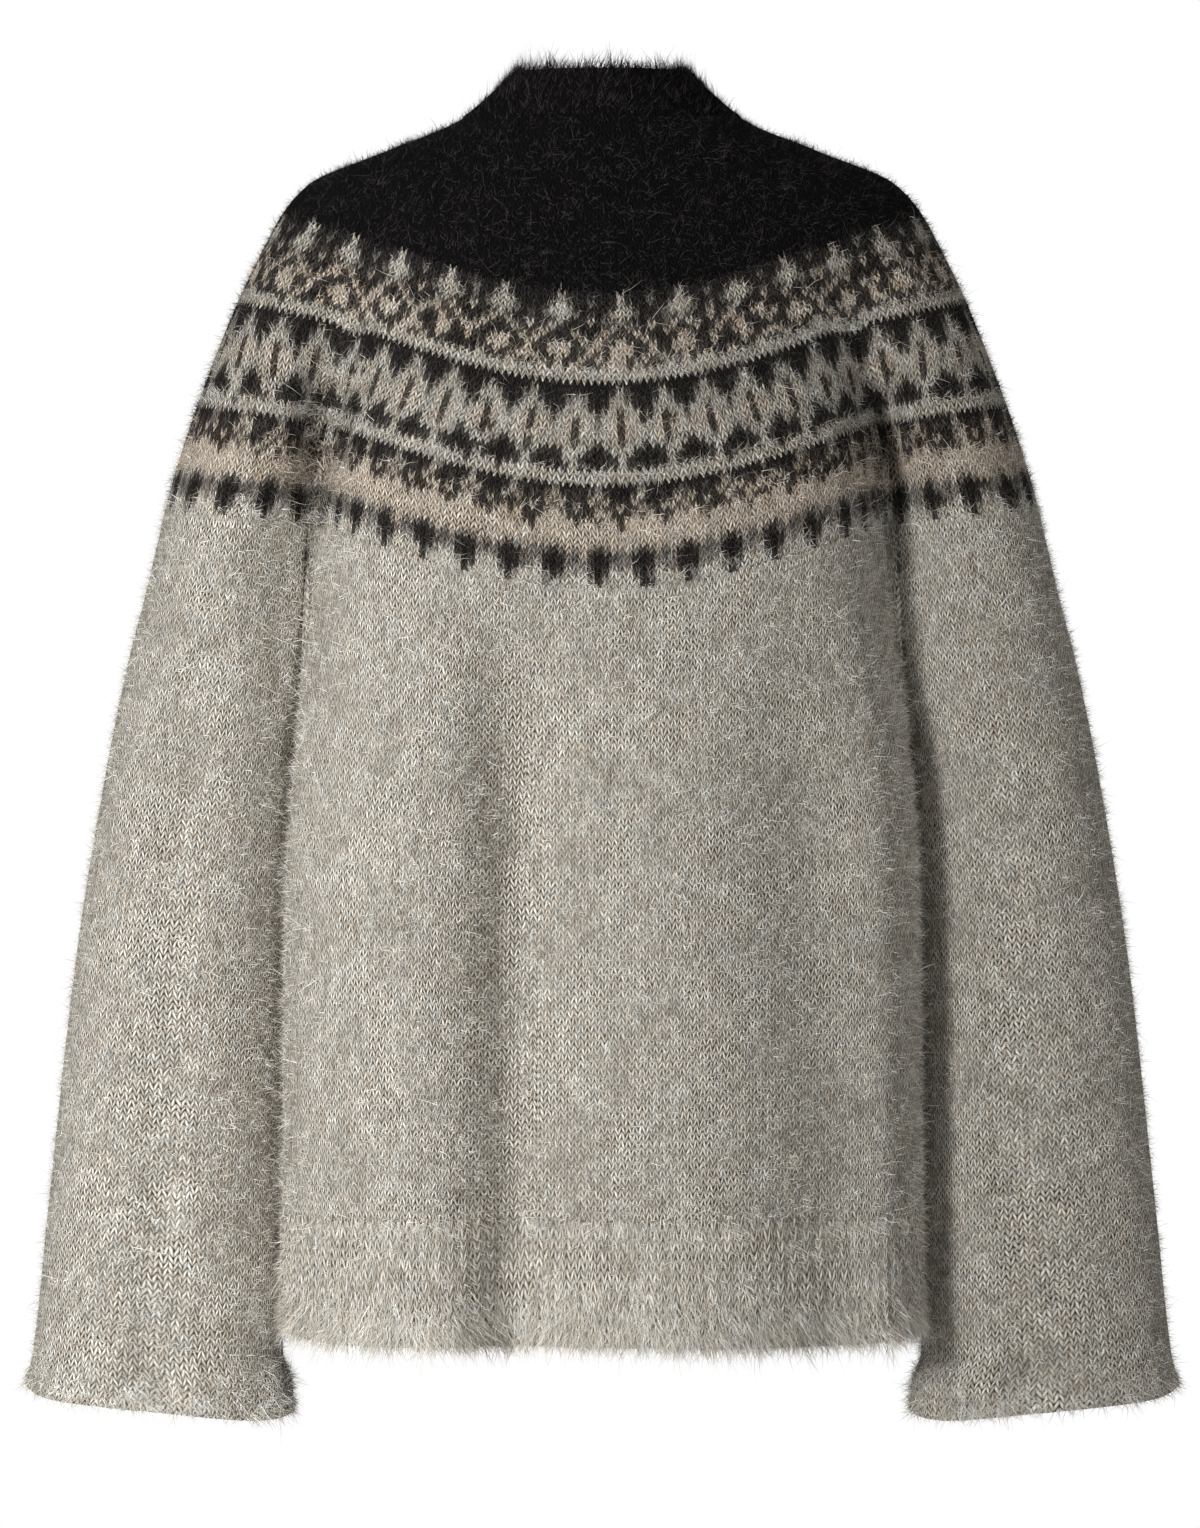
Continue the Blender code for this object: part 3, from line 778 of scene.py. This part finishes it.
class Strip:
    """Rows of stitches with one number of stitches all round. open_end is "top" or "bottom"
    where the strip ends in an open edge, and fringe is how thick its fringe is."""

    def __init__(
        self, rings, per_stitch, colours, rib=0.0, flat_rows=(0, -1), open_end=None, fringe=1.0
    ):
        self.fringe = fringe
        self.per_stitch, self.colours, self.open_end = per_stitch, colours, open_end
        self.points, self.heights = knitted(rings, per_stitch, rib, flat_rows)
        self.stitches = colours.shape[1]
        self.comb = RIB_COMB if rib else 0.0


def knit_tube(name, strips, inside):
    """A closed tube of cloth from strips that follow each other downwards. inside is the
    rings of its inner face."""
    skin = Skin()
    first, last = strips[0], strips[-1]
    row, ends = 0, []
    for strip in strips:
        lines = len(strip.colours) + (strip is last)
        start = skin.add_points(strip.points[:lines])
        heights = strip.heights[:lines] + row
        skin.lay_rows(
            start, heights, 1 / strip.per_stitch,
            np.repeat(strip.colours[: lines - 1], strip.per_stitch, axis=1),
        )
        ends.append((start, heights[0]))
        ends.append((start + (lines - 1) * heights.shape[1], heights[-1]))
        row += len(strip.colours)
    for strip, upper, lower in zip(strips, ends[1::2], ends[2::2]):
        skin.zip_rings(upper, lower, strip.stitches, strip.colours[-1])
    start = skin.add_points(inside)
    heights = np.linspace(-1, row + 1, len(inside))[:, None] + np.zeros(inside.shape[1])
    means = np.concatenate([strip.colours.mean(axis=1) for strip in strips])
    at = np.clip(heights[:-1, 0].astype(int), 0, row - 1)
    plain = np.repeat(means[at][:, None], inside.shape[1], axis=1)
    step = last.stitches / inside.shape[1]
    skin.lay_rows(start, heights, step, plain, inside_out=True)
    upper, lower = (start, heights[0]), (start + heights[:-1].size, heights[-1])
    skin.zip_rings(upper, ends[0], first.stitches, first.colours[0], rim=True)
    skin.zip_rings(ends[-1], lower, last.stitches, last.colours[-1], rim=True)
    arrays = (skin.points, skin.corners, skin.sizes, skin.colours)
    piece = build(name, *map(np.concatenate, arrays), "CORNER", np.concatenate(skin.uvs))
    piece.data.polygons.foreach_set("use_smooth", ~np.concatenate(skin.rims))
    return piece


# ---- loose fibres

def normed(vectors):
    return vectors / np.linalg.norm(vectors, axis=-1, keepdims=True)


def swell(points, size):
    """Smooth unevenness over the cloth, from -1 to 1, where waves of about a size cross."""
    waves = np.sin(points @ np.transpose(WAVES) * (2 * np.pi / size) + np.arange(len(WAVES)))
    return waves.mean(axis=-1)


def grow(rng, strip, kind, density):
    """Fibres of one kind on a strip, as ribbons that end in a point: points and colours
    with a row for each fibre."""
    rows, thinned, fringe = slice(None), np.ones(1), 1.0
    if kind["last_rows"]:
        fringe = strip.fringe
        count = int(kind["last_rows"])
        rows = {"top": slice(0, count), "bottom": slice(-count, None)}[strip.open_end]
        thinned = (np.arange(1, count + 1) / count) ** 2
        thinned = thinned[::-1] if strip.open_end == "top" else thinned
    grid = strip.points[:, :: strip.per_stitch]
    grid = np.concatenate((grid, grid[:, :1]), axis=1)
    grid = np.stack((grid[:-1], grid[1:]))[:, rows]
    corners = [grid[0][:, :-1], grid[1][:, :-1], grid[1][:, 1:], grid[0][:, 1:]]
    corners = [corner.reshape(-1, 3) for corner in corners]
    across = np.cross(corners[2] - corners[0], corners[3] - corners[1])
    areas = np.linalg.norm(across, axis=1) / 2
    areas = areas * np.repeat(thinned, len(areas) // len(thinned))
    if kind["segments"] > 1 and not kind["last_rows"]:
        areas = areas * (1 + MEETING_NAP * meeting(corners[0]))
    areas = areas * (1 + PATCH_NAP * swell(corners[0], PATCH_SIZE))
    number = areas * density * fringe * kind["per_area"]
    stitch = np.repeat(np.arange(len(areas)), rng.poisson(number))
    count = len(stitch)
    a, b, c, d = (corner[stitch] for corner in corners)
    s, t = rng.random((2, count, 1))
    root = a * (1 - s) * (1 - t) + b * (1 - s) * t + c * s * t + d * s * (1 - t)
    sideways, down = normed(d - a), normed(b - a)
    normal = normed(np.cross(down, sideways))
    lean = swell(root, LOCK_SIZE)[:, None]
    turn = LOCK_LEAN * lean + rng.normal(0, LOCK_SPREAD, (count, 1))
    lift = rng.uniform(kind["lift_from"], kind["lift_to"], (count, 1))
    combed = (kind["combed"] + strip.comb) * (-1 if strip.open_end == "top" else 1)
    along = normed(np.cos(turn) * sideways + (np.sin(turn) + combed) * down)
    along = np.cos(lift) * along + np.sin(lift) * normal
    reach = rng.uniform(kind["shortest"], kind["longest"], (count, 1))
    reach = reach * fringe**0.5 * (1 + LOCK_REACH * swell(root[:, ::-1], LOCK_SIZE)[:, None])
    bend = kind["curl"] * normed(rng.normal(0, 1, (count, 3)))
    edge = normed(np.cross(along, normal + rng.normal(0, FIBRE_TURN, (count, 3))))
    segments = int(kind["segments"])
    points = []
    for joint in range(segments + 1):
        share = joint / segments
        middle = root + reach * (share * along + share**2 * bend)
        half = edge * kind["width"] / 2 * (1 - FIBRE_TAPER * share)
        points += [middle] if joint == segments else [middle - half, middle + half]
    colours = strip.colours[rows].reshape(-1, 3)[stitch]
    colours = colours * np.exp(rng.normal(0.0, FIBRE_SHADES, (count, 1)) * DARK_WARMTH)
    share = EDGE_PALE_SHARE if kind["last_rows"] else PALE_SHARE
    pale = (colours.max(axis=1) < DARK_LIMIT) & (rng.random(count) < share)
    colours[pale] += linear(PALE_ADDED)
    return np.stack(points, axis=1), colours


def fluff(name, rng, strips, keep=None, density=1.0):
    """A piece of loose fibres on the strips, where keep says so for their roots."""
    points, corners, sizes, colours = [], [], [], []
    start = 0
    for strip in strips:
        for k in range(len(FIBRES["segments"])):
            kind = {column: values[k] for column, values in FIBRES.items()}
            if kind["last_rows"] and not strip.open_end:
                continue
            fibres, shades = grow(rng, strip, kind, density)
            if keep:
                chosen = keep(fibres[:, 0])
                fibres, shades = fibres[chosen], shades[chosen]
            count, each = fibres.shape[:2]
            ribbon = []
            for low in range(0, each - 3, 2):
                ribbon += [low, low + 1, low + 3, low + 2]
            ribbon += [each - 3, each - 2, each - 1]
            first = start + each * np.arange(count)[:, None]
            corners.append((first + ribbon).ravel())
            sizes.append(np.tile([4] * (each // 2 - 1) + [3], count))
            points.append(fibres.reshape(-1, 3))
            colours.append(np.repeat(shades, each, axis=0))
            start += count * each
    piece = build(name, *map(np.concatenate, (points, corners, sizes, colours)), "POINT")
    piece.data.materials.append(fibre_finish)
    return piece


# ---- materials

def put(tree, kind, settings=None, inputs=None):
    """Adds a node with its settings. Its inputs are values, or sockets to link."""
    node = tree.nodes.new("ShaderNode" + kind)
    for name, value in (settings or {}).items():
        setattr(node, name, value)
    for name, value in (inputs or {}).items():
        if isinstance(value, bpy.types.NodeSocket):
            tree.links.new(value, node.inputs[name])
        else:
            node.inputs[name].default_value = value
    return node


def new_material(name, surface):
    """A material, its tree and its shader, with a surface's values on the shader's sockets."""
    material = bpy.data.materials.new(name)
    material.use_nodes = True
    shader = material.node_tree.nodes["Principled BSDF"]
    for socket, value in surface.items():
        shader.inputs[socket].default_value = value
    return material, material.node_tree, shader


# Steps from a stitch's place to its form: a name, what is done, and with what. u counts
# stitches and v counts rows downwards, and each leg is a grain that rises outwards.
STITCH_STEPS = (
    ("column", "FRACT", "u"),
    ("offset", "SUBTRACT", "column", 0.5),
    ("aside", "ABSOLUTE", "offset"),
    ("risen", "MULTIPLY_ADD", "aside", 2 * STITCH_RISE, -STITCH_RISE / 2),
    ("course", "ADD", "v", "risen"),
    ("row", "FLOOR", "course"),
    ("in_row", "FRACT", "course"),
    ("off_row", "SUBTRACT", "in_row", 0.5),
    ("off_leg", "SUBTRACT", "aside", 0.25),
    ("along", "DIVIDE", "off_leg", LEG_LENGTH),
    ("across", "DIVIDE", "off_row", LEG_WIDTH),
    ("along_2", "MULTIPLY", "along", "along"),
    ("spread", "MULTIPLY_ADD", "across", "across", "along_2"),
    ("rest", "SUBTRACT", 1.0, "spread"),
    ("held", "MAXIMUM", "rest", 0.0),
    ("height", "POWER", "held", HOLE_SPREAD),
    ("half", "MULTIPLY", "u", 2.0),
    ("leg", "FLOOR", "half"),
)


def stitch_form(tree):
    """What STITCH_STEPS names, as sockets, after the yarn is pulled a little out of place."""
    place = put(tree, "UVMap", {"uv_map": "stitches"})
    pulls = put(tree, "TexNoise", None,
                {"Vector": place.outputs[0], "Scale": 1 / TANGLE_SIZE, "Detail": 2.0})
    pull = put(tree, "VectorMath", {"operation": "MULTIPLY_ADD"},
               {0: pulls.outputs["Color"], 1: (TANGLE_REACH,) * 3, 2: place.outputs[0]})
    split = put(tree, "SeparateXYZ", None, {0: pull.outputs[0]})
    form = {"u": split.outputs[0], "v": split.outputs[1]}
    for step, operation, *values in STITCH_STEPS:
        values = [form.get(value, value) for value in values]
        node = put(tree, "Math", {"operation": operation}, dict(enumerate(values)))
        form[step] = node.outputs[0]
    return form


def strand_noise(tree, form):
    """Noise that is drawn out along each leg, as its single strands are."""
    spot = put(tree, "CombineXYZ", None, {0: form["along"], 1: form["across"], 2: form["leg"]})
    drawn = put(tree, "VectorMath", {"operation": "MULTIPLY"},
                {0: spot.outputs[0], 1: STRAND_SCALE})
    row = put(tree, "CombineXYZ", None, {0: form["row"], 1: form["row"]})
    moved = put(tree, "VectorMath", {"operation": "MULTIPLY_ADD"},
                {0: row.outputs[0], 1: ROW_SHIFT, 2: drawn.outputs[0]})
    return put(tree, "TexNoise", None, {"Vector": moved.outputs[0], "Scale": 1.0, "Detail": 2.0})


def knit_finish(name, depth, painted_hole_shade, mottle):
    """Brushed wool, knitted: a soft matt face of slanted legs with small gaps between them,
    darkened with painted shade, which the fluff hides in patches, single fibres along each
    leg, and slow random changes of tone over the cloth."""
    material, tree, shader = new_material(name, WOOL)
    form = stitch_form(tree)
    strands = strand_noise(tree, form)
    leg = put(tree, "CombineXYZ", None, {0: form["leg"], 1: form["row"]})
    legs = put(tree, "TexWhiteNoise", {"noise_dimensions": "2D"}, {0: leg.outputs[0]})
    on_body = put(tree, "TexCoord").outputs["Object"]
    patches, fuzz = (
        put(tree, "TexNoise", None, {"Vector": on_body, "Scale": 1 / size, "Detail": 3.0})
        for size in (MOTTLE_SIZE, FUZZ_SIZE)
    )
    # Painted shade in each hole between legs: how dark it gets, lighter in brushed patches.
    patchy_hole_shade = put(tree, "MapRange", None,
                   {"Value": patches.outputs[0], "From Min": PATCHES[0], "From Max": PATCHES[1],
                    "To Min": painted_hole_shade, "To Max": painted_hole_shade + HOLE_FLUFF})
    # Painted shade: the colour darkens from the middle of each leg into the hole beside it.
    light = put(tree, "MapRange", None,
                {"Value": form["height"], "To Min": patchy_hole_shade.outputs[0], "To Max": 1.0})
    shade = light.outputs[0]
    for noise, low, high, least, most in (
        (strands, *STRAND_SHADES),
        (legs, *LEG_SHADES),
        (patches, *PATCHES, 1 + mottle, 1 - mottle),
        (fuzz, *FUZZ_SHADES),
    ):
        change = put(tree, "MapRange", None,
                     {"Value": noise.outputs[0], "From Min": low, "From Max": high,
                      "To Min": least, "To Max": most})
        shade = put(tree, "Math", {"operation": "MULTIPLY"},
                    {0: shade, 1: change.outputs[0]}).outputs[0]
    yarn = put(tree, "Attribute", {"attribute_name": "yarn"})
    # The shade, painted and random, also tints the colour: browner in each hole, cooler on the
    # legs.
    tinted = put(tree, "VectorMath", {"operation": "MULTIPLY_ADD"},
                 {0: shade, 1: LIT_TINT, 2: HOLE_SHADE_TINT})
    colour = put(tree, "VectorMath", {"operation": "MULTIPLY"},
                 {0: yarn.outputs["Color"], 1: tinted.outputs[0]})
    relief = put(tree, "Math", {"operation": "MULTIPLY_ADD"},
                 {0: strands.outputs[0], 1: STRAND_RELIEF, 2: form["height"]})
    bump = put(tree, "Bump", None,
               {"Strength": 1.0, "Distance": depth, "Height": relief.outputs[0]})
    tree.links.new(colour.outputs[0], shader.inputs["Base Color"])
    tree.links.new(yarn.outputs["Color"], shader.inputs["Sheen Tint"])
    tree.links.new(bump.outputs[0], shader.inputs["Normal"])
    return material


def loose_fibre_finish():
    """Single mohair and wool fibres: each has the shade of the yarn it stands on."""
    material, tree, shader = new_material("loose_mohair_fibres", WOOL)
    yarn = put(tree, "Attribute", {"attribute_name": "yarn"})
    for socket in ("Base Color", "Sheen Tint"):
        tree.links.new(yarn.outputs["Color"], shader.inputs[socket])
    return material


fibre_finish = loose_fibre_finish()
# Each finish: the depth of its bump, how dark the painted shade in each hole gets, and its slow
# mottle.
colourwork = knit_finish("brushed_wool_colourwork", depth=0.0010, painted_hole_shade=0.03, mottle=0.14)
marl = knit_finish("brushed_grey_marl_wool", depth=0.0010, painted_hole_shade=0.02, mottle=0.24)
ribbing = knit_finish("brushed_wool_rib", depth=0.0008, painted_hole_shade=0.06, mottle=0.12)

# ---- pieces

rng = np.random.default_rng(SEED)


def row_lines(rows):
    """Shares of the way down where the lines between rows lie."""
    return np.linspace(0, 1, rows + 1)


def one_strip(
    name, rings, letter, rows, stitches, heights, inside=(INSIDE_ROWS, INSIDE_COLUMNS),
    per_stitch=COLUMNS, tuck=SEAM_TUCK, **edge
):
    """A tube of one strip in one yarn, and the strip. rings is a function of shares of the
    way down and a number of columns, and inside says how many of both the inner face has."""
    outer = inset(rings(row_lines(rows), per_stitch * stitches), CLOTH_INSET, heights, tuck)
    inner = inset(rings(row_lines(inside[0]), inside[1]), INSIDE_INSET, heights, tuck)
    colours = shaded(rng, np.full((rows, stitches), letter))
    strip = Strip(outer, per_stitch, colours, **edge)
    return knit_tube(name, [strip], inner), strip


def dress(piece, finish, nodes, fibres):
    """Gives a knitted piece its finish, its body and what it stands for."""
    piece.data.materials.append(finish)
    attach(piece, "root")
    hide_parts(*nodes)
    for fibre_piece in fibres:
        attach(fibre_piece, "root")


# The collar is a stand-up rib.
collar, strip = one_strip(
    "collar", collar_rings, "K", COLLAR_ROWS, COLLAR_STITCHES,
    (level(-COLLAR_TOP), level(SEAM_LAP)), (COLLAR_INSIDE_ROWS, INSIDE_COLUMNS),
    per_stitch=COLLAR_COLUMNS, tuck=0.0, rib=COLLAR_RIB_RELIEF, open_end="top",
)
loose = [fluff("collar_fluff", rng, [strip], density=COLLAR_NAP)]
dress(collar, ribbing, ["collar_rib"], loose)

# The yoke is knitted in one round over body and sleeves, in strips with more stitches
# further down.
strips = []
ends = [strip[0] for strip in YOKE_STRIPS[1:]] + [1.0]
for number, ((start, stitches, rows, chart, turned), end) in enumerate(zip(YOKE_STRIPS, ends)):
    is_first, is_last = number == 0, number == len(YOKE_STRIPS) - 1
    rings = yoke_rings(np.linspace(start, end, rows + 1), COLUMNS * stitches)
    heights = (level(SEAM_GAP / 2) if is_first else None, yoke_height if is_last else None)
    colours = shaded(rng, chart_letters(rng, chart, stitches, rows, turned))
    flat_rows = [0] * is_first + [-1] * is_last
    outer = inset(rings, CLOTH_INSET, heights)
    strips.append(Strip(outer, COLUMNS, colours, flat_rows=flat_rows))
inner = yoke_rings(row_lines(INSIDE_ROWS), 2 * INSIDE_COLUMNS)
inner = inset(inner, INSIDE_INSET, (level(SEAM_GAP / 2), yoke_height))
yoke = knit_tube("yoke", strips, inner)
loose = [fluff("yoke_fluff", rng, strips)]
nodes = ["yoke_front", "yoke_back"]
dress(yoke, colourwork, nodes, loose)

# The body is one tube without side seams.
body, strip = one_strip(
    "body", body_rings, "G", BODY_ROWS, BODY_STITCHES,
    (tube_height, level(HEM_SEAM - SEAM_GAP / 2)),
)
loose = [
    fluff("body_fluff_front", rng, [strip], lambda root: root[:, 1] < 0),
    fluff("body_fluff_back", rng, [strip], lambda root: root[:, 1] >= 0),
]
dress(body, marl, ["body_front", "body_back"], loose)

# The hem is a soft rib.
hem, strip = one_strip(
    "hem", hem_rings, "G", HEM_ROWS, BODY_STITCHES, (level(HEM_SEAM - SEAM_LAP), None),
    (HEM_INSIDE_ROWS, INSIDE_COLUMNS), rib=HEM_RIB_RELIEF, open_end="bottom", fringe=HEM_FRINGE,
)
loose = [fluff("hem_fluff", rng, [strip])]
dress(hem, ribbing, ["hem_rib_front", "hem_rib_back"], loose)

# The sleeves are wide at their plain hems.
for arm, name in ((1, "sleeve_left"), (-1, "sleeve_right")):
    sleeve, strip = one_strip(
        name + "_knit", partial(sleeve_rings, arm), "G", SLEEVE_ROWS, SLEEVE_STITCHES,
        (tube_height, None), (INSIDE_ROWS, INSIDE_COLUMNS // 2),
        open_end="bottom", fringe=CUFF_FRINGE,
    )
    loose = [fluff(name + "_fluff", rng, [strip])]
    dress(sleeve, marl, [name], loose)

# ---- floor, light and camera

scene = bpy.context.scene
scene.view_settings.view_transform = "Standard"

bpy.ops.object.select_all(action="DESELECT")
bpy.ops.mesh.primitive_circle_add(
    vertices=FLOOR_SIDES, radius=FLOOR_RADIUS, fill_type="NGON", location=(0, 0, -FLOOR_DROP)
)
floor = bpy.context.object
floor.name = "floor"
# Matt and almost white, so that it throws soft light back up and shows no gloss.
pale = {"Base Color": (*linear(FLOOR_COLOUR), 1), "Roughness": 0.9}
floor.data.materials.append(new_material("pale_studio_floor", pale)[0])


def lamp(name, kind, place, aim, power, **settings):
    """A lamp that is turned to what it is aimed at."""
    data = bpy.data.lights.new(name, kind)
    data.energy = power
    for setting, value in settings.items():
        setattr(data, setting, value)
    light = bpy.data.objects.new(name, data)
    light.location = place
    light.rotation_euler = (Vector(aim) - Vector(place)).to_track_quat("-Z", "Y").to_euler()
    scene.collection.objects.link(light)


# A flagged lamp from the left, a weak soft box from the right, and an even pale room.
lamp("key_lamp", "SPOT", KEY_PLACE, KEY_AIM, KEY_POWER, shadow_soft_size=KEY_SIZE,
     spot_size=np.radians(KEY_CONE), spot_blend=KEY_BLEND)
lamp("fill_softbox", "AREA", FILL_PLACE, FILL_AIM, FILL_POWER, size=FILL_SIZE)

world = bpy.data.worlds.new("pale_room")
scene.world = world
world.use_nodes = True
tree = world.node_tree
tree.nodes.clear()
seen = put(tree, "Background", None, {"Color": (*linear(BACKDROP_COLOUR), 1), "Strength": 1.0})
lit = put(tree, "Background", None,
          {"Color": (*linear(ROOM_COLOUR), 1), "Strength": ROOM_LIGHT})
ray = put(tree, "LightPath")
mixed = put(tree, "MixShader", None,
            {0: ray.outputs["Is Camera Ray"], 1: lit.outputs[0], 2: seen.outputs[0]})
put(tree, "OutputWorld", None, {"Surface": mixed.outputs[0]})

camera_data = bpy.data.cameras.new("camera")
camera_data.sensor_fit = "VERTICAL"
camera_data.sensor_height = SENSOR
camera_data.lens = SENSOR * CAMERA_DISTANCE / (PICTURE[1] * PIXEL)
camera_data.clip_end = CAMERA_REACH
camera = bpy.data.objects.new("camera", camera_data)
camera.location = (
    (PICTURE[0] / 2 - NECK_PIXEL[0]) * PIXEL,
    -CAMERA_DISTANCE,
    (NECK_PIXEL[1] - PICTURE[1] / 2) * PIXEL,
)
camera.rotation_euler = (np.pi / 2, 0, 0)
scene.collection.objects.link(camera)
scene.camera = camera
